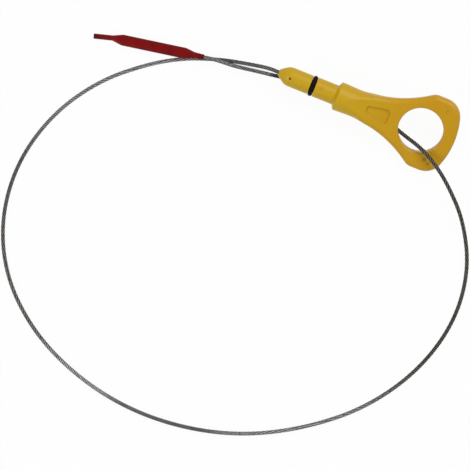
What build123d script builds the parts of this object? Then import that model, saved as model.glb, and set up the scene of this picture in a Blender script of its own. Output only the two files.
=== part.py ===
from build123d import *
import math
import os

# Engine oil dipstick: a yellow moulded handle with a sealed plug, a steel wire rope and a red level tip.
# It lies on a table as it is put away: the rope is coiled once, over the finger ring's rim, down through
# its hole, under the shoulder and back past the nose. Sizes are in millimetres.
# The origin is the centre of the conical seat, +X runs along the plug's axis to the ring, and +Z is up.

# Wire rope
ROPE_D = 2.0
ROPE_GRIP = 24.0  # length of rope moulded into the plug
ROPE_FIT = 0.02  # gap left round the rope in each moulding
ROPE_LEAVE = 6.0  # straight stretch in front of the nose

# Plug: nose, neck and seal
PLUG_LENGTH = 29.8  # from the nose's end to the seat
NECK_D = 9.6
NECK_REAR_D = 9.9
NOSE_END_D = 3.3
NOSE_LENGTH = 4.4
NOSE_BLEND = 6.0
NOSE_EDGE = 0.4
SEAL_D = 10.5
SEAL_SECTION = 2.4
SEAL_X = -11.9
SEAL_SIDE_GAP = 0.1
SEAL_FIT = 0.02
PIN_HOLE_D = 1.2  # mark of the pin that centres the rope in the mould
PIN_HOLE_DEPTH = 1.3
PIN_HOLE_SETBACK = 6.3  # from the nose's end

# Shoulder: conical seat, and a round collar that flares into the paddle
SHOULDER_D = 14.5
SEAT_LENGTH = 1.2
SEAT_EDGE = 0.7
COLLAR_D = 13.9
COLLAR_X = 9.0
COLLAR_RUNOUT_X = 21.8  # the collar's flare runs out on the paddle's edge here

# Paddle: flat web and finger ring, seen on the flat
WEB_START_X = 4.0
WEB_START_ROOM = 0.1  # how much wider than the collar the web starts
WEB_X = 16.5
WEB_WIDTH = 14.6
FLARE_RADIUS = 60.0
FLARE_CORNER = 6.0
RING_X = 45.25
RING_SIDE_START = 0.35  # the flare meets the ring's side this far past the hole's centre
RING_WIDTH = 37.9
RING_REACH = 17.65  # from the hole's centre to the far end
RING_END_R = 40.0
RING_CORNER = 9.5
HOLE_D = 22.3
HOLE_FILLET = 0.8

# Paddle's thickness: it falls from the collar in a crown and a hollow, and thins again at the far end
CROWN_X = 2.0
CROWN_RISE = 0.3  # height of the crown's top over the collar
CROWN_RADIUS = 36.0
RING_THICKNESS = 6.4
FLAT_BEFORE = 12.25  # flat stretch of the ring, before and after the hole's centre
FLAT_AFTER = 10.95
THIN_END_RADIUS = 36.0
RIM_FILLET = 2.4

# Pocket in each face of the web
POCKET_START_X = 16.4
POCKET_END_X = 28.5
POCKET_START_WIDTH = 4.2
POCKET_END_WIDTH = 8.0
POCKET_CORNER = 1.9
POCKET_DEPTH = 0.8
POCKET_FLOOR_FILLET = 0.6

# Level tip
TIP_LENGTH = 56.0
TIP_END_D = 2.6
TIP_END_CORNER = 1.25
TIP_LIP = 5.0  # slim stretch where the rope enters
TIP_LIP_WIDTH = 3.1
TIP_LIP_THICKNESS = 2.7
TIP_WIDTH = 5.4
TIP_THICKNESS = 3.0
TIP_CORNER = 1.2
TIP_TAPER = 9.5  # full width from here on
TIP_STUB_TAPER = 5.0
TIP_STUB = 9.4
STUB_BEND = 6.0  # degrees, to one side
STUB_BEND_RADIUS = 25.0
ROPE_END_RECESS = 0.3  # the rope's cut end lies this deep in the stub

# Sizes that follow from those above
HANDLE_END_X = RING_X + RING_REACH
SIDE_START_X = RING_X + RING_SIDE_START
FLAT_START_X = RING_X - FLAT_BEFORE
FLAT_END_X = RING_X + FLAT_AFTER
WEB_FALL = COLLAR_D / 2 + CROWN_RISE - RING_THICKNESS / 2
WEB_RUN = FLAT_START_X - CROWN_X
WEB_TURN = 2 * math.atan(WEB_FALL / WEB_RUN)
HOLLOW_RADIUS = WEB_RUN / math.sin(WEB_TURN) - CROWN_RADIUS
END_THICKNESS = RING_THICKNESS - (HANDLE_END_X - FLAT_END_X) ** 2 / THIN_END_RADIUS
RIM_R = min(RIM_FILLET, 0.48 * END_THICKNESS)
GROOVE_D = SEAL_D - 2 * SEAL_SECTION - 2 * SEAL_FIT
GROOVE_HALF = SEAL_SECTION / 2 + SEAL_SIDE_GAP
BORE_D = ROPE_D + 2 * ROPE_FIT
ENVELOPE = 2 * RING_WIDTH

# The paddle's edge where the collar's flare runs out, which gives the flare's radius
FLARE_CHORD = Vector(SIDE_START_X - WEB_X, (RING_WIDTH - WEB_WIDTH) / 2)
FLARE_SIDE = FLARE_CHORD.normalized().rotate(Axis.Z, 90)
FLARE_DEPTH = math.sqrt(FLARE_RADIUS**2 - FLARE_CHORD.length**2 / 4)
FLARE_CENTRE = Vector(WEB_X, WEB_WIDTH / 2) + FLARE_CHORD / 2 + FLARE_SIDE * FLARE_DEPTH
RUNOUT_Y = FLARE_CENTRE.Y - math.sqrt(FLARE_RADIUS**2 - (COLLAR_RUNOUT_X - FLARE_CENTRE.X) ** 2)
RUNOUT_SLOPE = math.asin((FLAT_START_X - COLLAR_RUNOUT_X) / HOLLOW_RADIUS)
RUNOUT_Z = RING_THICKNESS / 2 + HOLLOW_RADIUS * (1 - math.cos(RUNOUT_SLOPE))
RUNOUT_RISE = math.hypot(RUNOUT_Y, RUNOUT_Z) - COLLAR_D / 2
COLLAR_RUN = Vector(COLLAR_X - SEAT_LENGTH, (COLLAR_D - SHOULDER_D) / 2).normalized()
RUNOUT = Vector(COLLAR_RUNOUT_X - COLLAR_X, RUNOUT_RISE)
COLLAR_FLARE = RUNOUT.length**2 / (2 * COLLAR_RUN.cross(RUNOUT).Z)

# How the handle lies: the shoulder on the rope, the ring's lower rim on the table
REST_GAP = 0.1
REST_OFFSET = 3.0  # how far beside the axis the rope passes under the shoulder
AXIS_HEIGHT = ROPE_D / 2 + math.sqrt((SHOULDER_D / 2 + ROPE_D / 2 + REST_GAP) ** 2 - REST_OFFSET**2)
RIM_OUT = RING_WIDTH / 2 - RIM_R
RIM_DOWN = RING_THICKNESS / 2 - RIM_R
ROLL = math.asin((AXIS_HEIGHT - RIM_R) / math.hypot(RIM_OUT, RIM_DOWN)) - math.atan2(RIM_DOWN, RIM_OUT)
FLOOR_Z = -AXIS_HEIGHT

# The rope's route between the straight stretch at the nose and the level tip: x, y and height over the table
ROPE_ROUTE = [
    (-47.2, -1.8, 6.0),
    (-55.9, -3.15, 2.5),
    (-65.4, -5.9, 1.35),
    (-76.4, -10.1, 1.0),
    (-91.1, -18.75, 1.0),
    (-111.0, -35.9, 1.0),
    (-126.4, -60.1, 1.0),
    (-133.6, -89.0, 1.0),
    (-130.3, -118.3, 1.0),
    (-116.8, -144.1, 1.0),
    (-93.9, -163.9, 1.0),
    (-66.0, -176.1, 1.0),
    (-36.5, -181.4, 1.0),
    (-7.0, -179.7, 1.0),
    (21.2, -171.9, 1.0),
    (47.3, -157.5, 1.0),
    (71.1, -137.5, 1.0),
    (88.6, -111.0, 1.0),
    (96.6, -82.2, 1.0),
    (93.9, -55.2, 1.0),
    (81.8, -33.4, 4.6),
    (67.0, -19.8, 9.2),
    (56.5, -12.8, 11.7),
    (47.8, -8.4, 10.2),
    (39.5, -5.2, 4.1),
    (29.6, -1.4, 1.1),
    (15.0, 2.6, 1.0),
    (-2.0, 3.4, 1.0),
    (-17.0, 1.6, 1.0),
    (-30.0, -0.95, 1.0),
    (-41.3, -2.65, 1.5),
    (-51.5, -4.8, 4.2),
    (-60.9, -5.27, 4.63),
    (-67.3, -6.36, 4.3),
]

os.makedirs("parts", exist_ok=True)

# Planes of the handle: its flat face, and the face seen from the side
handle_plane = Plane(origin=(0, 0, 0), x_dir=(1, 0, 0), z_dir=(0, -math.sin(ROLL), math.cos(ROLL)))
side_plane = Plane(origin=(0, 0, 0), x_dir=(1, 0, 0), z_dir=-handle_plane.y_dir)


def on_paddle(face):
    """True for the upper and lower faces that give the paddle its thickness."""
    extruded = face.geom_type in (GeomType.PLANE, GeomType.CYLINDER)
    return extruded and face.center().X > WEB_START_X and abs(face.normal_at().dot(handle_plane.z_dir)) > 0.9


def on_rim(edge):
    """True for an edge round the paddle, false for a straight edge across it between two of its faces."""
    return edge.geom_type != GeomType.LINE or abs(handle_plane.to_local_coords(edge @ 0.5).Y) > RIM_R


# Handle: the paddle's outline and thickness, and the turned form that it grows out of
with BuildPart() as handle:
    with BuildSketch(handle_plane) as paddle_outline:
        with Locations((HANDLE_END_X - RING_END_R, 0)):
            Circle(RING_END_R)
        with Locations(((SIDE_START_X + HANDLE_END_X) / 2, 0)):
            Rectangle(HANDLE_END_X - SIDE_START_X, RING_WIDTH, mode=Mode.INTERSECT)
        far_corners = paddle_outline.vertices().filter_by_position(Axis.X, SIDE_START_X + 0.1, HANDLE_END_X)
        fillet(far_corners, RING_CORNER)
        with BuildLine():
            web_start = (WEB_START_X, COLLAR_D / 2 + WEB_START_ROOM)
            Polyline((WEB_START_X, 0), web_start, (WEB_X, WEB_WIDTH / 2))
            RadiusArc((WEB_X, WEB_WIDTH / 2), (SIDE_START_X, RING_WIDTH / 2), -FLARE_RADIUS)
            Line((SIDE_START_X, RING_WIDTH / 2), (SIDE_START_X, 0))
            mirror(about=Plane.XZ)
        make_face()
        corners = paddle_outline.vertices()
        fillet(corners.filter_by_position(Axis.X, SIDE_START_X - 0.1, SIDE_START_X + 0.1), FLARE_CORNER)
    extrude(amount=ENVELOPE / 2, both=True)

    crown_top = (CROWN_X, COLLAR_D / 2 + CROWN_RISE)
    end_turn = math.asin((HANDLE_END_X + RIM_R - FLAT_END_X) / THIN_END_RADIUS)
    with BuildSketch(side_plane):
        with BuildLine():
            Line((CROWN_X, 0), crown_top)
            crown = JernArc(crown_top, (1, 0), CROWN_RADIUS, -math.degrees(WEB_TURN))
            hollow = JernArc(crown @ 1, crown % 1, HOLLOW_RADIUS, math.degrees(WEB_TURN))
            flat = Line(hollow @ 1, (FLAT_END_X, RING_THICKNESS / 2))
            thinning = JernArc(flat @ 1, (1, 0), THIN_END_RADIUS, -math.degrees(end_turn))
            Line(thinning @ 1, ((thinning @ 1).X, 0))
            mirror(about=Plane.XZ)
        make_face()
    extrude(amount=ENVELOPE / 2, both=True, mode=Mode.INTERSECT)

    with Locations((WEB_START_X, 0, 0)):
        Box(WEB_START_X + PLUG_LENGTH, ENVELOPE, ENVELOPE, align=(Align.MAX, Align.CENTER, Align.CENTER))
    with BuildSketch(handle_plane) as turned_form:
        with BuildLine():
            nose_end = (-PLUG_LENGTH, NOSE_END_D / 2)
            nose_start = (NOSE_LENGTH - PLUG_LENGTH, NECK_D / 2)
            seat_end = (SEAT_LENGTH, SHOULDER_D / 2)
            Polyline(
                (-PLUG_LENGTH, 0),
                nose_end,
                nose_start,
                (SEAL_X - GROOVE_HALF, NECK_D / 2),
                (SEAL_X - GROOVE_HALF, GROOVE_D / 2),
                (SEAL_X + GROOVE_HALF, GROOVE_D / 2),
                (SEAL_X + GROOVE_HALF, NECK_REAR_D / 2),
                (0, NECK_REAR_D / 2),
                seat_end,
                (COLLAR_X, COLLAR_D / 2),
            )
            flare = JernArc((COLLAR_X, COLLAR_D / 2), COLLAR_RUN, COLLAR_FLARE, 60)
            Polyline(
                flare @ 1,
                ((flare @ 1).X, ENVELOPE),
                (HANDLE_END_X + RIM_R, ENVELOPE),
                (HANDLE_END_X + RIM_R, 0),
                (-PLUG_LENGTH, 0),
            )
        make_face()
        fillet(turned_form.vertices().sort_by_distance(nose_end)[0], NOSE_EDGE)
        fillet(turned_form.vertices().sort_by_distance(nose_start)[0], NOSE_BLEND)
        fillet(turned_form.vertices().sort_by_distance(seat_end)[0], SEAT_EDGE)
    revolve(axis=Axis.X, mode=Mode.INTERSECT)
    fillet(handle.faces().filter_by(on_paddle).edges().filter_by(on_rim), RIM_R)

    with BuildSketch(handle_plane):
        with Locations((RING_X, 0)):
            Circle(HOLE_D / 2)
    extrude(amount=ENVELOPE / 2, both=True, mode=Mode.SUBTRACT)
    hole_edges = handle.edges().filter_by(GeomType.CIRCLE)
    fillet(hole_edges.filter_by(lambda edge: abs(edge.radius - HOLE_D / 2) < 0.01), HOLE_FILLET)

    # a shallow pocket in the middle of each face, along the hollow of the web
    pocket_x = (POCKET_START_X + POCKET_END_X) / 2
    pocket_slope = math.asin((FLAT_START_X - pocket_x) / HOLLOW_RADIUS)
    pocket_z = RING_THICKNESS / 2 + HOLLOW_RADIUS * (1 - math.cos(pocket_slope))
    pocket_length = POCKET_END_X - POCKET_START_X
    for face in (1, -1):
        upward = handle_plane.z_dir * face
        along = handle_plane.x_dir * math.cos(pocket_slope) - upward * math.sin(pocket_slope)
        outward = handle_plane.x_dir * math.sin(pocket_slope) + upward * math.cos(pocket_slope)
        pocket_centre = handle_plane.from_local_coords((pocket_x, 0, face * pocket_z))
        pocket_plane = Plane(origin=pocket_centre, x_dir=along, z_dir=outward)
        with BuildSketch(pocket_plane.offset(-POCKET_DEPTH)) as pocket:
            with BuildLine():
                Polyline(
                    (-pocket_length / 2, -POCKET_START_WIDTH / 2),
                    (pocket_length / 2, -POCKET_END_WIDTH / 2),
                    (pocket_length / 2, POCKET_END_WIDTH / 2),
                    (-pocket_length / 2, POCKET_START_WIDTH / 2),
                    close=True,
                )
            make_face()
            fillet(pocket.vertices(), POCKET_CORNER)
        extrude(amount=2 * POCKET_DEPTH, mode=Mode.SUBTRACT)
        new_floors = handle.faces(Select.LAST).filter_by(Axis(pocket_centre, outward))
        fillet(new_floors.sort_by(SortBy.AREA)[-1].edges(), POCKET_FLOOR_FILLET)

    with BuildSketch(handle_plane.offset(NECK_D / 2 - PIN_HOLE_DEPTH)):
        with Locations((PIN_HOLE_SETBACK - PLUG_LENGTH, 0)):
            Circle(PIN_HOLE_D / 2)
    extrude(amount=2 * PIN_HOLE_DEPTH, mode=Mode.SUBTRACT)

    with BuildSketch(Plane.YZ.offset(-PLUG_LENGTH)):
        Circle(BORE_D / 2)
    extrude(amount=ROPE_GRIP, mode=Mode.SUBTRACT)

handle.part.label = "handle"
export_step(handle.part, "parts/handle.step")

# Seal: a rubber ring in the neck's groove
with BuildPart() as o_ring:
    with BuildSketch(handle_plane):
        with Locations((SEAL_X, (SEAL_D - SEAL_SECTION) / 2)):
            Circle(SEAL_SECTION / 2)
    revolve(axis=Axis.X)

o_ring.part.label = "o_ring"
export_step(o_ring.part, "parts/o_ring.step")

# Wire rope: straight runs joined by arcs as wide as the runs allow, with a straight end in each moulding
route = [Vector(-PLUG_LENGTH, 0, 0), Vector(-PLUG_LENGTH - ROPE_LEAVE, 0, 0)]
route += [Vector(x, y, FLOOR_Z + height) for x, y, height in ROPE_ROUTE]
radii = []
for before, corner, after in zip(route, route[1:], route[2:]):
    shorter_run = min((corner - before).length, (after - corner).length)
    turn = (corner - before).get_angle(after - corner)
    radii.append(0.45 * shorter_run / math.tan(math.radians(turn) / 2))
tip_direction = (route[-1] - route[-2]).normalized()
stub_direction = tip_direction.rotate(Axis.Z, STUB_BEND)
stub_start = route[-1] + tip_direction * (TIP_LENGTH - TIP_STUB)
stub_end = stub_start + stub_direction * TIP_STUB
rope_end = stub_end - stub_direction * ROPE_END_RECESS

with BuildPart() as wire_rope:
    with BuildLine() as rope_line:
        FilletPolyline(*route, radius=radii)
    with BuildSketch(Plane(origin=route[0], z_dir=route[1] - route[0])):
        Circle(ROPE_D / 2)
    sweep(path=rope_line.wires()[0])
    free_volume = wire_rope.part.volume
    with BuildSketch(Plane(origin=route[0], z_dir=route[0] - route[1])):
        Circle(ROPE_D / 2)
    extrude(amount=ROPE_GRIP)
    with BuildLine() as tail_line:
        FilletPolyline(route[-1], stub_start, rope_end, radius=STUB_BEND_RADIUS)
    with BuildSketch(Plane(origin=route[-1], z_dir=tip_direction)):
        Circle(ROPE_D / 2)
    sweep(path=tail_line.wires()[0])

wire_rope.part.label = "wire_rope"
export_step(wire_rope.part, "parts/wire_rope.step")

# Level tip: a flat red moulding round the rope's far end, with a round stub that is bent a little
tip_side = Vector(0, 0, 1).cross(tip_direction).normalized()
stub_side = tip_side.rotate(Axis.Z, STUB_BEND)
tip_plane = Plane(origin=route[-1], x_dir=tip_side, z_dir=tip_direction)
bend_plane = Plane(origin=stub_start, x_dir=tip_side + stub_side, z_dir=tip_direction + stub_direction)
stub_plane = Plane(origin=stub_end, x_dir=stub_side, z_dir=stub_direction)
tip_sections = [
    (0, TIP_END_D, TIP_END_D, TIP_END_CORNER),
    (TIP_LIP, TIP_LIP_WIDTH, TIP_LIP_THICKNESS, TIP_CORNER),
    (TIP_TAPER, TIP_WIDTH, TIP_THICKNESS, TIP_CORNER),
    (TIP_LENGTH - TIP_STUB - TIP_STUB_TAPER, TIP_WIDTH, TIP_THICKNESS, TIP_CORNER),
]
with BuildPart() as level_tip:
    for distance, width, thickness, rounding in tip_sections:
        with BuildSketch(tip_plane.offset(distance)):
            RectangleRounded(width, thickness, rounding)
    for plane in (bend_plane, stub_plane):
        with BuildSketch(plane):
            RectangleRounded(TIP_END_D, TIP_END_D, TIP_END_CORNER)
    loft(ruled=True)
    with BuildLine() as bore_line:
        FilletPolyline(route[-1], stub_start, stub_end, radius=STUB_BEND_RADIUS)
    with BuildSketch(tip_plane):
        Circle(BORE_D / 2)
    sweep(path=bore_line.wires()[0], mode=Mode.SUBTRACT)

level_tip.part.label = "level_tip"
export_step(level_tip.part, "parts/level_tip.step")

rope_length = rope_line.wires()[0].length
plain_volume = math.pi * ROPE_D**2 / 4 * rope_length
print("rope radii", [round(radius, 1) for radius in radii])
print("free rope", round(rope_length, 1), "whole rope", round(rope_length + ROPE_GRIP + TIP_LENGTH, 1))
print("tube volume over section times length", round(free_volume / plain_volume, 4))
print("axis height", round(AXIS_HEIGHT, 3), "roll", round(math.degrees(ROLL), 2))
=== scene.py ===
"""Engine oil dipstick: its stranded rope, the finish of its mouldings and seal, and a white studio."""

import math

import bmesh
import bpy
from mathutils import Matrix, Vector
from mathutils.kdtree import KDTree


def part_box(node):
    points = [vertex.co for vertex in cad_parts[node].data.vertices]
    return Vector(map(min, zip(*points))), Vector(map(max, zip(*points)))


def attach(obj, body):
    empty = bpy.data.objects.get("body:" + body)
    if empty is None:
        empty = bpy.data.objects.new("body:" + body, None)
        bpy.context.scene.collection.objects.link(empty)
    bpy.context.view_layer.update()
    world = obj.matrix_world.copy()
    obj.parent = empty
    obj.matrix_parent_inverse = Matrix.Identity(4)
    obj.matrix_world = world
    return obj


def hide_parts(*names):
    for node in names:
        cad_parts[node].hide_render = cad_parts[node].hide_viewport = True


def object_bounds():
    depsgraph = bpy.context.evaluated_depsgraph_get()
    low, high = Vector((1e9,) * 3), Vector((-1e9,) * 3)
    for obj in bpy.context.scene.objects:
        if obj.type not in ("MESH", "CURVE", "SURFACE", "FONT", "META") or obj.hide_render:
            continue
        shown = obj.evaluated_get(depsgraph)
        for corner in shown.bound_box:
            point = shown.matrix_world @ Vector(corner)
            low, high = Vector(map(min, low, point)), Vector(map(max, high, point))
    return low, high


bl_info = {
    "name": "Engine Oil Dipstick",
    "version": (1, 0, 0),
    "blender": (4, 5, 0),
    "location": "3D View > Sidebar > Dipstick",
    "description": "Lays the wire rope and finishes the mouldings of an engine oil dipstick",
    "category": "Object",
}

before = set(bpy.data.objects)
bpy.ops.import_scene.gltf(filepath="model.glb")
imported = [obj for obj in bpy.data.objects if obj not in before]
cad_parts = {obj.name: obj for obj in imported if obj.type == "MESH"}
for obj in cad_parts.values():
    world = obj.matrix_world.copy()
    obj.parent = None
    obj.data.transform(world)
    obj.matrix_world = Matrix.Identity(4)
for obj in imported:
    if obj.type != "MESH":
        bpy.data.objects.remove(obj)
CAD_LOW, CAD_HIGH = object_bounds()

MM = 0.001
BODY = "root"

# Places that the frame gives: the table under the dipstick and the end of the plug's nose
TABLE_Z = CAD_LOW.z
NOSE_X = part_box("handle")[0].x

# The rope's route in metres: x, y and height over the table, from the nose round the loop to the level tip
STRAIGHT_AT_NOSE = 0.0060
ROPE_ROUTE = [
    (-0.0472, -0.0018, 0.0060),
    (-0.0559, -0.00315, 0.0025),
    (-0.0654, -0.0059, 0.00135),
    (-0.0764, -0.0101, 0.0010),
    (-0.0911, -0.01875, 0.0010),
    (-0.1110, -0.0359, 0.0010),
    (-0.1264, -0.0601, 0.0010),
    (-0.1336, -0.0890, 0.0010),
    (-0.1303, -0.1183, 0.0010),
    (-0.1168, -0.1441, 0.0010),
    (-0.0939, -0.1639, 0.0010),
    (-0.0660, -0.1761, 0.0010),
    (-0.0365, -0.1814, 0.0010),
    (-0.0070, -0.1797, 0.0010),
    (0.0212, -0.1719, 0.0010),
    (0.0473, -0.1575, 0.0010),
    (0.0711, -0.1375, 0.0010),
    (0.0886, -0.1110, 0.0010),
    (0.0966, -0.0822, 0.0010),
    (0.0939, -0.0552, 0.0010),
    (0.0818, -0.0334, 0.0046),
    (0.0670, -0.0198, 0.0092),
    (0.0565, -0.0128, 0.0117),
    (0.0478, -0.0084, 0.0102),
    (0.0395, -0.0052, 0.0041),
    (0.0296, -0.0014, 0.0011),
    (0.0150, 0.0026, 0.0010),
    (-0.0020, 0.0034, 0.0010),
    (-0.0170, 0.0016, 0.0010),
    (-0.0300, -0.00095, 0.0010),
    (-0.0413, -0.00265, 0.0015),
    (-0.0515, -0.0048, 0.0042),
    (-0.0609, -0.00527, 0.00463),
    (-0.0673, -0.00636, 0.0043),
]
ROUTE_RESOLUTION = 32  # points read from the spline for each point of the route
ROPE_IN_MOULDING = 0.003  # how far the strands are carried on into each bore
TIP_LENGTH = 0.056
STUB_LENGTH = 0.0094
STUB_BEND = math.radians(6)
CUT_END_RECESS = 0.0003


# Settings


def linear(code):
    """A colour's linear red, green and blue from its sRGB hex code."""
    shares = [int(code[start : start + 2], 16) / 255 for start in (0, 2, 4)]
    return [share / 12.92 if share <= 0.04045 else ((share + 0.055) / 1.055) ** 2.4 for share in shares]


def colour_property(name, description, code):
    """A colour that a user may change, with its default as an sRGB hex code."""
    return bpy.props.FloatVectorProperty(
        name=name, description=description, subtype="COLOR", size=3, min=0, max=1, default=linear(code)
    )


def length_property(name, description, default):
    """A length in metres that a user may change."""
    return bpy.props.FloatProperty(
        name=name, description=description, default=default, min=0, precision=5, unit="LENGTH"
    )


class RopeSettings(bpy.types.PropertyGroup):
    """The wire rope's make and colours."""

    diameter: length_property("Diameter", "Outer diameter of the rope", 0.002)
    lay: length_property("Lay", "Length in which a strand goes once round the rope", 0.0132)
    strands: bpy.props.IntProperty(
        name="Strands", description="Strands laid round the core", default=6, min=3, max=8
    )
    wires: bpy.props.IntProperty(
        name="Wires", description="Outer wires of each strand", default=6, min=3, max=12
    )
    wire_lay: length_property("Wire lay", "Length in which a wire goes once round its strand", 0.0055)
    steel: colour_property("Steel", "Drawn wire, dulled by use", "C0C0BE")
    film: colour_property("Oil film", "Wire under a film of old oil", "68655E")
    # This colour is also painted shade between the strands and painted shadow on the rope below the nose.
    oil: colour_property("Oil", "Old oil held between the strands", "0A0908")
    speck: length_property("Speck size", "Size of the spots of dirt on the wires", 0.0012)


class HandleSettings(bpy.types.PropertyGroup):
    """The yellow moulding's colours and grain."""

    yellow: colour_property("Yellow", "Colour of the plug and collar", "C59F0C")
    deep: colour_property("Deep yellow", "Colour of the thinner ring", "C19000")
    # This colour also paints the shadow of the rope on the ring beside it.
    stain_and_shade: colour_property("Stain", "Oil that the rope has rubbed in", "6B4A10")
    cloud: length_property("Cloud size", "Size of the soft changes of colour", 0.011)
    grain: length_property("Grain size", "Size of the mould's satin grain", 0.0005)


class SealSettings(bpy.types.PropertyGroup):
    """The rubber ring's colour and grain."""

    black: colour_property("Black", "Nitrile rubber", "120A06")
    grain: length_property("Grain size", "Size of the rubber's fine grain", 0.0006)


class TipSettings(bpy.types.PropertyGroup):
    """The red moulding's colours and grain."""

    red: colour_property("Red", "Main colour of the moulding", "870A0C")
    deep: colour_property("Deep red", "Where oil has soaked in", "6E0608")
    # This colour is painted shade, laid on the tip's sides and at both its ends.
    stain_and_shade: colour_property("Stain", "Oil on the sides and at both ends", "35070C")
    cloud: length_property("Cloud size", "Size of the soft changes of colour", 0.007)
    grain: length_property("Grain size", "Size of the mould's satin grain", 0.0005)


class StageSettings(bpy.types.PropertyGroup):
    """The white table, the soft lights and the camera."""

    white: colour_property("Table", "Colour of the table", "F4F4F2")
    glow: bpy.props.FloatProperty(
        name="Glow",
        description="Share of plain white in the table that the camera sees",
        default=0.95,
        min=0,
        max=1,
    )
    key_power: bpy.props.FloatProperty(
        name="Key light",
        description="Power of the large light at the upper right",
        default=3.7,
        min=0,
        unit="POWER",
    )
    fill_power: bpy.props.FloatProperty(
        name="Fill light",
        description="Power of the light from the lower left",
        default=2.7,
        min=0,
        unit="POWER",
    )
    room: bpy.props.FloatProperty(
        name="Room light", description="Even light from all round", default=0.45, min=0
    )
    azimuth: bpy.props.FloatProperty(
        name="Azimuth",
        description="Side from which the camera looks",
        default=math.radians(22.1),
        subtype="ANGLE",
    )
    elevation: bpy.props.FloatProperty(
        name="Elevation",
        description="Height of the camera over the table",
        default=math.radians(87),
        subtype="ANGLE",
    )
    distance: length_property("Distance", "From the camera to the table", 0.8)
    target: bpy.props.FloatVectorProperty(
        name="Target",
        description="Place on the table that the camera looks at",
        default=(-0.01993, -0.08209),
        size=2,
        unit="LENGTH",
    )
    lens: bpy.props.FloatProperty(
        name="Lens", description="Focal length in millimetres", default=123.7, min=1
    )


class DipstickSettings(bpy.types.PropertyGroup):
    """All the settings of the dipstick."""

    rope: bpy.props.PointerProperty(type=RopeSettings)
    handle: bpy.props.PointerProperty(type=HandleSettings)
    seal: bpy.props.PointerProperty(type=SealSettings)
    tip: bpy.props.PointerProperty(type=TipSettings)
    stage: bpy.props.PointerProperty(type=StageSettings)


# The rope's line


def over_table(point):
    """A place of the route in the frame's own axes."""
    x, y, height = point
    return Vector((x, y, TABLE_Z + height))


def tip_direction():
    """The direction in which the rope runs through the level tip."""
    return (over_table(ROPE_ROUTE[-1]) - over_table(ROPE_ROUTE[-2])).normalized()


def rope_route():
    """The points that the rope's line is drawn from, with a little of its tail in each moulding."""
    inside_nose = Vector((NOSE_X + ROPE_IN_MOULDING, 0, 0))
    nose = Vector((NOSE_X, 0, 0))
    leaving = Vector((NOSE_X - STRAIGHT_AT_NOSE, 0, 0))
    loop = [over_table(point) for point in ROPE_ROUTE]
    inside_tip = loop[-1] + tip_direction() * ROPE_IN_MOULDING
    return [inside_nose, nose, leaving, *loop, inside_tip]


def cut_end_line():
    """The last of the rope, straight in the tip's bent stub."""
    stub_direction = Matrix.Rotation(STUB_BEND, 3, "Z") @ tip_direction()
    stub_start = over_table(ROPE_ROUTE[-1]) + tip_direction() * (TIP_LENGTH - STUB_LENGTH)
    end = stub_start + stub_direction * (STUB_LENGTH - CUT_END_RECESS)
    return [end - stub_direction * ROPE_IN_MOULDING * share for share in (1, 0.75, 0.5, 0.25, 0)]


def smooth_line(route):
    """Points along one smooth spline drawn from the route."""
    curve = bpy.data.curves.new("rope_line", "CURVE")
    curve.dimensions = "3D"
    curve.resolution_u = ROUTE_RESOLUTION
    spline = curve.splines.new("NURBS")
    spline.points.add(len(route) - 1)
    for point, place in zip(spline.points, route):
        point.co = (*place, 1)
    spline.order_u = 3
    spline.use_endpoint_u = True
    holder = bpy.data.objects.new("rope_line", curve)
    line = bpy.data.meshes.new_from_object(holder)
    points = [vertex.co.copy() for vertex in line.vertices]
    bpy.data.objects.remove(holder)
    bpy.data.meshes.remove(line)
    bpy.data.curves.remove(curve)
    return points


# Materials

# A colour Mix node's sockets go by number, because their names repeat
SHARE = 0
UNDER = 6
OVER = 7
MIXED = 2

GRAIN_DEPTH = 0.1 * MM
WIRE_DEPTH = 0.02 * MM

# The edge of a dark mark (stains, and painted shade and shadow alike): how many rags it has over its size,
# and how near and far it reaches
RAGS = 2
RAG_NEAR = 0.2
RAG_FAR = 1.4

# Marks on the handle: place, size and strength. The first two are painted shadow, darkening the ring
# beside the rope where the rope's shadow falls; the last two are a scuff and a smudge of oil and wear.
STAINS_AND_ROPE_SHADOW = (
    (Vector((0.0525, -0.0129, -0.0013)), 2.2 * MM, 0.75),
    (Vector((0.0549, -0.0143, -0.0018)), 1.7 * MM, 0.6),
    (Vector((0.0537, 0.0120, 0.0078)), 1.2 * MM, 0.35),
    (Vector((-0.0074, -0.0004, 0.0049)), 1.6 * MM, 0.25),
)

# The handle's paler yellow fades from the end of the seat to the start of the ring, under clouds
COLLAR_FROM = 5 * MM
RING_FROM = 35 * MM
PALE_AT_COLLAR = 0.65
PALE_AT_RING = -0.15
PALE_BY_CLOUDS = 0.5

# Painted shade at the level tip's two ends, darkening them: place, size and strength
TIP_START = over_table(ROPE_ROUTE[-1])
TIP_END = cut_end_line()[-1]
TIP_END_SHADE = (
    (TIP_START, 4 * MM, 0.9),
    (TIP_END, 4 * MM, 0.9),
    (TIP_END, 10 * MM, 0.45),
)

# Painted shadow: the rope below the nose is darkened to black where the nose shades it: place, size and
# strength
NOSE_SHADOW_ON_ROPE = ((over_table((NOSE_X, -1 * MM, 1 * MM)), 10 * MM, 0.95),)

# Stretches of the rope that old oil dulls: middle from the rope's start, half length and cover
OILY_STRETCHES = (
    (0.013, 0.032, 0.7),
    (0.196, 0.065, 0.68),
    (0.318, 0.030, 0.65),
    (0.515, 0.087, 0.88),
    (0.680, 0.030, 0.4),
)
# Shares of a stretch's half length at which its film starts to thin and at which it ends
FILM_THINS = 0.6
FILM_ENDS = 1.3


def add_node(tree, kind, inputs, **settings):
    """Add a node with its settings, and set its inputs or link them to other nodes' outputs."""
    node = tree.nodes.new(kind)
    for name, value in settings.items():
        setattr(node, name, value)
    for name, value in inputs.items():
        if isinstance(value, bpy.types.NodeSocket):
            tree.links.new(value, node.inputs[name])
        else:
            node.inputs[name].default_value = value
    return node


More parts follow.
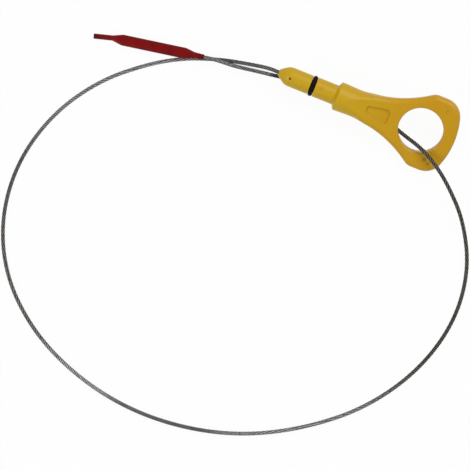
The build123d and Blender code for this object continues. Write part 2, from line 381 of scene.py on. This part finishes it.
def new_material(name):
    """An empty node material and its tree."""
    material = bpy.data.materials.new(name)
    material.use_nodes = True
    material.node_tree.nodes.clear()
    return material, material.node_tree


def solid_colour(colour):
    """A colour setting as the four values that a colour socket takes."""
    return (*colour, 1)


def layered(tree, colour, layers):
    """A colour with others laid over it in turn, each by its own share."""
    for over, share in layers:
        colour = add_node(
            tree,
            "ShaderNodeMix",
            {UNDER: colour, OVER: solid_colour(over), SHARE: share},
            data_type="RGBA",
        ).outputs[MIXED]
    return colour


def stain_and_shade_cover(tree, place, centre, size, strength):
    """How strongly one mark covers the surface: full at its centre and ragged at its edge."""
    distance = add_node(
        tree, "ShaderNodeVectorMath", {0: place, 1: centre}, operation="DISTANCE"
    ).outputs["Value"]
    rag = add_node(tree, "ShaderNodeTexNoise", {"Vector": place, "Scale": RAGS / size, "Detail": 3.0})
    reach = add_node(
        tree,
        "ShaderNodeMapRange",
        {"Value": rag.outputs["Fac"], "To Min": RAG_NEAR * size, "To Max": RAG_FAR * size},
    ).outputs["Result"]
    cover = add_node(
        tree,
        "ShaderNodeMapRange",
        {"Value": distance, "From Min": 0.0, "From Max": reach, "To Min": strength, "To Max": 0.0},
    )
    return cover.outputs["Result"]


def marked(tree, place, colour, stain_and_shade, marks):
    """A colour with dark marks laid over it: stains, and painted shade and shadow."""
    return layered(tree, colour, [(stain_and_shade, stain_and_shade_cover(tree, place, *mark)) for mark in marks])


def moulded_grain(tree, place, size, strength):
    """A moulding's fine grain and its normal, several times coarser than a real one so that it shows."""
    noise = add_node(tree, "ShaderNodeTexNoise", {"Vector": place, "Scale": 1 / size, "Detail": 2.0})
    grain = noise.outputs["Fac"]
    bump = add_node(
        tree, "ShaderNodeBump", {"Height": grain, "Strength": strength, "Distance": GRAIN_DEPTH}
    )
    return grain, bump.outputs["Normal"]


def moulded_nylon(settings):
    """Filled nylon from a satin mould: clouded yellow, a broad soft gloss, rubbed-in oil and a painted
    shadow of the rope on the ring.
    """
    material, tree = new_material("moulded_yellow_nylon")
    place = add_node(tree, "ShaderNodeTexCoord", {}).outputs["Object"]
    clouds = add_node(
        tree, "ShaderNodeTexNoise", {"Vector": place, "Scale": 1 / settings.cloud, "Detail": 3.0}
    ).outputs["Fac"]
    fade = add_node(
        tree,
        "ShaderNodeMapRange",
        {
            "Value": add_node(tree, "ShaderNodeSeparateXYZ", {0: place}).outputs["X"],
            "From Min": COLLAR_FROM,
            "From Max": RING_FROM,
            "To Min": PALE_AT_COLLAR,
            "To Max": PALE_AT_RING,
        },
    ).outputs["Result"]
    pale = add_node(
        tree, "ShaderNodeMath", {0: clouds, 1: PALE_BY_CLOUDS, 2: fade}, operation="MULTIPLY_ADD"
    ).outputs["Value"]
    colour = layered(tree, solid_colour(settings.deep), [(settings.yellow, pale)])
    _, normal = moulded_grain(tree, place, settings.grain, strength=0.12)
    gloss = add_node(tree, "ShaderNodeMapRange", {"Value": clouds, "To Min": 0.31, "To Max": 0.43})
    shader = add_node(
        tree,
        "ShaderNodeBsdfPrincipled",
        {
            "Base Color": marked(tree, place, colour, settings.stain_and_shade, STAINS_AND_ROPE_SHADOW),
            "Roughness": gloss.outputs["Result"],
            "IOR": 1.53,
            "Specular IOR Level": 0.25,
            "Normal": normal,
        },
    )
    add_node(tree, "ShaderNodeOutputMaterial", {"Surface": shader.outputs["BSDF"]})
    return material


def nitrile_rubber(settings):
    """Moulded nitrile rubber: near black with a dull, slightly oily sheen."""
    material, tree = new_material("black_nitrile_rubber")
    place = add_node(tree, "ShaderNodeTexCoord", {}).outputs["Object"]
    grain, normal = moulded_grain(tree, place, settings.grain, strength=0.1)
    gloss = add_node(tree, "ShaderNodeMapRange", {"Value": grain, "To Min": 0.4, "To Max": 0.6})
    shader = add_node(
        tree,
        "ShaderNodeBsdfPrincipled",
        {
            "Base Color": solid_colour(settings.black),
            "Roughness": gloss.outputs["Result"],
            "Specular IOR Level": 0.06,
            "Normal": normal,
        },
    )
    add_node(tree, "ShaderNodeOutputMaterial", {"Surface": shader.outputs["BSDF"]})
    return material


def moulded_red(settings):
    """Red plastic moulded on the rope: satin, with painted shade on its sides and at both ends."""
    material, tree = new_material("moulded_red_plastic")
    spot = add_node(tree, "ShaderNodeTexCoord", {})
    place = spot.outputs["Object"]
    clouds = add_node(
        tree, "ShaderNodeTexNoise", {"Vector": place, "Scale": 1 / settings.cloud, "Detail": 3.0}
    ).outputs["Fac"]
    patches = add_node(
        tree, "ShaderNodeMapRange", {"Value": clouds, "From Min": 0.35, "From Max": 0.65}
    ).outputs["Result"]
    # Painted shade: faces that turn away from the top get the dark stain colour, as if shaded.
    upward = add_node(tree, "ShaderNodeSeparateXYZ", {0: spot.outputs["Normal"]}).outputs["Z"]
    shaded_sides = add_node(
        tree,
        "ShaderNodeMapRange",
        {"Value": upward, "From Min": 0.2, "From Max": 0.9, "To Min": 0.6, "To Max": 0.0},
    ).outputs["Result"]
    layers = [(settings.red, patches), (settings.stain_and_shade, shaded_sides)]
    colour = layered(tree, solid_colour(settings.deep), layers)
    _, normal = moulded_grain(tree, place, settings.grain, strength=0.1)
    shader = add_node(
        tree,
        "ShaderNodeBsdfPrincipled",
        {
            "Base Color": marked(tree, place, colour, settings.stain_and_shade, TIP_END_SHADE),
            "Roughness": 0.38,
            "IOR": 1.5,
            "Specular IOR Level": 0.1,
            "Normal": normal,
        },
    )
    add_node(tree, "ShaderNodeOutputMaterial", {"Surface": shader.outputs["BSDF"]})
    return material


def oil_film(tree, along):
    """How much of the film lies on the rope: full in the middle of a stretch, and thinner to its ends."""
    film = 0.0
    for middle, half, cover in OILY_STRETCHES:
        offset = add_node(
            tree, "ShaderNodeMath", {0: along, 1: middle}, operation="SUBTRACT"
        ).outputs["Value"]
        distance = add_node(tree, "ShaderNodeMath", {0: offset}, operation="ABSOLUTE").outputs["Value"]
        stretch = add_node(
            tree,
            "ShaderNodeMapRange",
            {
                "Value": distance,
                "From Min": FILM_THINS * half,
                "From Max": FILM_ENDS * half,
                "To Min": cover,
                "To Max": 0.0,
            },
            interpolation_type="SMOOTHSTEP",
        ).outputs["Result"]
        film = add_node(
            tree, "ShaderNodeMath", {0: film, 1: stretch}, operation="MAXIMUM"
        ).outputs["Value"]
    return film


def wire_relief(tree, settings, along, round_strand):
    """The normal of a strand's outer wires: real in size and lay, so they show only from close by."""
    turns = add_node(
        tree,
        "ShaderNodeMath",
        {0: along, 1: 1 / settings.wire_lay, 2: round_strand},
        operation="MULTIPLY_ADD",
    ).outputs["Value"]
    phase = add_node(
        tree, "ShaderNodeMath", {0: turns, 1: 2 * math.pi * settings.wires}, operation="MULTIPLY"
    ).outputs["Value"]
    wires = add_node(tree, "ShaderNodeMath", {0: phase}, operation="SINE").outputs["Value"]
    bump = add_node(tree, "ShaderNodeBump", {"Height": wires, "Strength": 0.6, "Distance": WIRE_DEPTH})
    return bump.outputs["Normal"]


def stranded_steel(settings):
    """Drawn steel wire: bright on the crowns of the strands, painted dark between them for the old oil
    held there and the shade that falls there.
    """
    material, tree = new_material("stranded_steel_wire")
    spot = add_node(tree, "ShaderNodeTexCoord", {})
    place = spot.outputs["Object"]
    round_strand = add_node(tree, "ShaderNodeSeparateXYZ", {0: spot.outputs["UV"]}).outputs["Y"]
    depth = add_node(tree, "ShaderNodeAttribute", {}, attribute_name="groove").outputs["Fac"]
    along = add_node(tree, "ShaderNodeAttribute", {}, attribute_name="along").outputs["Fac"]
    film = oil_film(tree, along)
    dirt = add_node(
        tree, "ShaderNodeTexNoise", {"Vector": place, "Scale": 1 / settings.speck, "Detail": 2.0}
    ).outputs["Fac"]
    specks = add_node(
        tree,
        "ShaderNodeMapRange",
        {"Value": dirt, "From Min": 0.45, "From Max": 0.75, "To Max": 0.6},
    ).outputs["Result"]
    # The oil colour laid by groove depth is partly painted shade between the strands.
    layers = [(settings.film, film), (settings.oil, specks), (settings.oil, depth)]
    colour = layered(tree, solid_colour(settings.steel), layers)
    dull = add_node(tree, "ShaderNodeMath", {0: depth, 1: film}, operation="MAXIMUM").outputs["Value"]
    gloss = add_node(tree, "ShaderNodeMapRange", {"Value": dull, "To Min": 0.24, "To Max": 0.6})
    shader = add_node(
        tree,
        "ShaderNodeBsdfPrincipled",
        {
            # The rope below the nose gets painted shadow here.
            "Base Color": marked(tree, place, colour, settings.oil, NOSE_SHADOW_ON_ROPE),
            "Metallic": 1.0,
            "Roughness": gloss.outputs["Result"],
            "Normal": wire_relief(tree, settings, along, round_strand),
        },
    )
    add_node(tree, "ShaderNodeOutputMaterial", {"Surface": shader.outputs["BSDF"]})
    return material


def seen_ray(tree):
    """1 where a ray shows the background: to the camera, in a reflection or through glass."""
    ray = add_node(tree, "ShaderNodeLightPath", {})
    shown = ray.outputs["Is Camera Ray"]
    for kind in ("Is Glossy Ray", "Is Transmission Ray"):
        shown = add_node(
            tree, "ShaderNodeMath", {0: shown, 1: ray.outputs[kind]}, operation="MAXIMUM"
        ).outputs["Value"]
    return shown


def studio_table(settings):
    """White card: plain white to the camera, with what is left of the dipstick's shadow."""
    material, tree = new_material("white_card")
    card = add_node(
        tree, "ShaderNodeBsdfDiffuse", {"Color": solid_colour(settings.white), "Roughness": 1.0}
    ).outputs["BSDF"]
    glow = add_node(tree, "ShaderNodeEmission", {"Color": solid_colour((1, 1, 1)), "Strength": 1.0})
    seen = add_node(
        tree, "ShaderNodeMixShader", {"Fac": settings.glow, 1: card, 2: glow.outputs["Emission"]}
    ).outputs["Shader"]
    shader = add_node(tree, "ShaderNodeMixShader", {"Fac": seen_ray(tree), 1: card, 2: seen})
    add_node(tree, "ShaderNodeOutputMaterial", {"Surface": shader.outputs["Shader"]})
    return material


# The rope's strands

# From GROOVE_SHARE inwards the strands are painted black: the old oil between them, and the shade that
# falls there.
GROOVE_SHARE = 0.92  # of the rope's radius: from here inwards the strands are black with oil


def carried_frames(points):
    """For each point its distance along the line, its tangent and a normal carried along without twist."""
    frames = []
    distance = 0.0
    normal = (points[1] - points[0]).orthogonal().normalized()
    last_tangent = (points[1] - points[0]).normalized()
    for index, point in enumerate(points):
        before = points[max(index - 1, 0)]
        after = points[min(index + 1, len(points) - 1)]
        tangent = (after - before).normalized()
        normal.rotate(last_tangent.rotation_difference(tangent))
        distance += (point - before).length
        frames.append((distance, tangent, normal.copy()))
        last_tangent = tangent
    return frames


def strand_piece(name, points, settings, with_core):
    """A mesh of round strands laid in a helix about a line, each a third of the rope across."""
    strand_radius = settings.diameter / 6
    helix_radius = settings.diameter / 2 - strand_radius
    frames = carried_frames(points)
    curve = bpy.data.curves.new(name, "CURVE")
    curve.dimensions = "3D"
    curve.bevel_depth = strand_radius
    curve.bevel_resolution = 3
    curve.use_fill_caps = True
    lines = [list(points)] if with_core else []
    for strand in range(settings.strands):
        line = []
        for point, (distance, tangent, normal) in zip(points, frames):
            turn = 2 * math.pi * (distance / settings.lay + strand / settings.strands)
            outward = normal * math.cos(turn) + tangent.cross(normal) * math.sin(turn)
            line.append(point + outward * helix_radius)
        lines.append(line)
    for line in lines:
        spline = curve.splines.new("POLY")
        spline.points.add(len(line) - 1)
        for point, place in zip(spline.points, line):
            point.co = (*place, 1)
    holder = bpy.data.objects.new(name + "_line", curve)
    mesh = bpy.data.meshes.new_from_object(holder)
    bpy.data.objects.remove(holder)
    bpy.data.curves.remove(curve)
    mesh.name = name
    mesh.polygons.foreach_set("use_smooth", [True] * len(mesh.polygons))
    mark_grooves(mesh, points, frames, settings)
    return link_piece(name, mesh)


def mark_grooves(mesh, points, frames, settings):
    """Write for each vertex how deep it lies between the strands, and how far along the rope."""
    tree = KDTree(len(points))
    for index, point in enumerate(points):
        tree.insert(point, index)
    tree.balance()
    crown = settings.diameter / 2
    groove = crown * GROOVE_SHARE
    depths = []
    lengths = []
    for vertex in mesh.vertices:
        _, index, _ = tree.find(vertex.co)
        distance, tangent, _ = frames[index]
        offset = vertex.co - points[index]
        radius = (offset - tangent * offset.dot(tangent)).length
        depths.append(min(max((crown - radius) / (crown - groove), 0), 1))
        lengths.append(distance + offset.dot(tangent))
    mesh.attributes.new("groove", "FLOAT", "POINT").data.foreach_set("value", depths)
    mesh.attributes.new("along", "FLOAT", "POINT").data.foreach_set("value", lengths)


def link_piece(name, mesh):
    """A new object of the mesh, in the scene and riding on the dipstick's body."""
    piece = bpy.data.objects.new(name, mesh)
    bpy.context.scene.collection.objects.link(piece)
    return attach(piece, BODY)


# The pieces


def dress(piece, material):
    """Give a piece one material all over."""
    piece.data.materials.clear()
    piece.data.materials.append(material)


class DIPSTICK_OT_lay_rope(bpy.types.Operator):
    """Lay the stranded rope along its route, and its cut end in the tip's stub"""

    bl_idname = "dipstick.lay_rope"
    bl_label = "Lay Rope"

    def execute(self, context):
        settings = context.scene.dipstick.rope
        steel = stranded_steel(settings)
        points = smooth_line(rope_route())
        rope = strand_piece("rope_strands", points, settings, with_core=False)
        cut_end = strand_piece("rope_cut_end", cut_end_line(), settings, with_core=True)
        for piece in (rope, cut_end):
            dress(piece, steel)
            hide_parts("wire_rope")
        return {"FINISHED"}


class DIPSTICK_OT_finish_handle(bpy.types.Operator):
    """Give the handle its yellow moulded finish"""

    bl_idname = "dipstick.finish_handle"
    bl_label = "Finish Handle"

    def execute(self, context):
        dress(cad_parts["handle"], moulded_nylon(context.scene.dipstick.handle))
        return {"FINISHED"}


class DIPSTICK_OT_finish_seal(bpy.types.Operator):
    """Give the seal its black rubber finish"""

    bl_idname = "dipstick.finish_seal"
    bl_label = "Finish Seal"

    def execute(self, context):
        dress(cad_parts["o_ring"], nitrile_rubber(context.scene.dipstick.seal))
        return {"FINISHED"}


class DIPSTICK_OT_finish_tip(bpy.types.Operator):
    """Give the level tip its red moulded finish"""

    bl_idname = "dipstick.finish_tip"
    bl_label = "Finish Level Tip"

    def execute(self, context):
        dress(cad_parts["level_tip"], moulded_red(context.scene.dipstick.tip))
        return {"FINISHED"}


# The stage

TABLE_SIZE = 6.0
KEY_SIZE = 0.55
FILL_SIZE = 0.45
KEY_PLACE = Vector((0.27, 0.50, 0.66))
FILL_PLACE = Vector((-0.45, -0.55, 0.55))
SENSOR_WIDTH = 36  # millimetres, as the lens


def lay_table(scene, settings):
    """A wide white table under the dipstick."""
    shape = bmesh.new()
    bmesh.ops.create_grid(shape, x_segments=1, y_segments=1, size=TABLE_SIZE / 2)
    bmesh.ops.translate(shape, verts=shape.verts, vec=(0, 0, TABLE_Z))
    card = bpy.data.meshes.new("white_table")
    shape.to_mesh(card)
    shape.free()
    table = bpy.data.objects.new("white_table", card)
    scene.collection.objects.link(table)
    dress(table, studio_table(settings))


def soft_light(scene, name, place, target, size, power):
    """A square light that looks at the target."""
    lamp = bpy.data.lights.new(name, "AREA")
    lamp.shape = "SQUARE"
    lamp.size = size
    lamp.energy = power
    light = bpy.data.objects.new(name, lamp)
    light.location = place
    light.rotation_euler = (target - place).to_track_quat("-Z", "Y").to_euler()
    scene.collection.objects.link(light)


def room_light(scene, strength):
    """An even white room: white where it is seen, and softer as light."""
    world = bpy.data.worlds.new("white_room")
    world.use_nodes = True
    tree = world.node_tree
    tree.nodes.clear()
    level = add_node(
        tree, "ShaderNodeMapRange", {"Value": seen_ray(tree), "To Min": strength, "To Max": 1.0}
    )
    white = add_node(
        tree,
        "ShaderNodeBackground",
        {"Color": solid_colour((1, 1, 1)), "Strength": level.outputs["Result"]},
    )
    add_node(tree, "ShaderNodeOutputWorld", {"Surface": white.outputs["Background"]})
    scene.world = world


def place_camera(scene, settings, target):
    """The scene's camera, which looks down at the target from its azimuth and elevation."""
    level = math.cos(settings.elevation)
    back = Vector(
        (
            math.sin(settings.azimuth) * level,
            -math.cos(settings.azimuth) * level,
            math.sin(settings.elevation),
        )
    )
    lens = bpy.data.cameras.new("camera")
    lens.sensor_width = SENSOR_WIDTH
    lens.lens = settings.lens
    camera = bpy.data.objects.new("camera", lens)
    camera.location = target + back * settings.distance
    camera.rotation_euler = (-back).to_track_quat("-Z", "Y").to_euler()
    scene.collection.objects.link(camera)
    scene.camera = camera


class DIPSTICK_OT_set_stage(bpy.types.Operator):
    """Set the white table, the soft lights and the camera"""

    bl_idname = "dipstick.set_stage"
    bl_label = "Set Stage"

    def execute(self, context):
        scene = context.scene
        settings = scene.dipstick.stage
        target = Vector((*settings.target, TABLE_Z))
        lay_table(scene, settings)
        soft_light(scene, "key_light", target + KEY_PLACE, target, KEY_SIZE, settings.key_power)
        soft_light(scene, "fill_light", target + FILL_PLACE, target, FILL_SIZE, settings.fill_power)
        room_light(scene, settings.room)
        place_camera(scene, settings, target)
        scene.view_settings.view_transform = "Standard"
        return {"FINISHED"}


# The add-on


class DIPSTICK_PT_sidebar(bpy.types.Panel):
    """The dipstick's pieces and settings"""

    bl_idname = "DIPSTICK_PT_sidebar"
    bl_label = "Engine Oil Dipstick"
    bl_space_type = "VIEW_3D"
    bl_region_type = "UI"
    bl_category = "Dipstick"

    def draw(self, context):
        groups = context.scene.dipstick
        pairs = [
            (DIPSTICK_OT_lay_rope, groups.rope),
            (DIPSTICK_OT_finish_handle, groups.handle),
            (DIPSTICK_OT_finish_seal, groups.seal),
            (DIPSTICK_OT_finish_tip, groups.tip),
            (DIPSTICK_OT_set_stage, groups.stage),
        ]
        for operator, group in pairs:
            box = self.layout.box()
            for name in group.__annotations__:
                box.prop(group, name)
            box.operator(operator.bl_idname)


CLASSES = (
    RopeSettings,
    HandleSettings,
    SealSettings,
    TipSettings,
    StageSettings,
    DipstickSettings,
    DIPSTICK_OT_lay_rope,
    DIPSTICK_OT_finish_handle,
    DIPSTICK_OT_finish_seal,
    DIPSTICK_OT_finish_tip,
    DIPSTICK_OT_set_stage,
    DIPSTICK_PT_sidebar,
)


def register():
    """Make the settings, operators and panel known to Blender."""
    for made in CLASSES:
        bpy.utils.register_class(made)
    bpy.types.Scene.dipstick = bpy.props.PointerProperty(type=DipstickSettings)


def unregister():
    """Take the settings, operators and panel away again."""
    del bpy.types.Scene.dipstick
    for made in reversed(CLASSES):
        bpy.utils.unregister_class(made)


def main():
    """Build the dipstick and its stage."""
    register()
    bpy.ops.dipstick.lay_rope()
    bpy.ops.dipstick.finish_handle()
    bpy.ops.dipstick.finish_seal()
    bpy.ops.dipstick.finish_tip()
    bpy.ops.dipstick.set_stage()


if __name__ == "__main__":
    main()
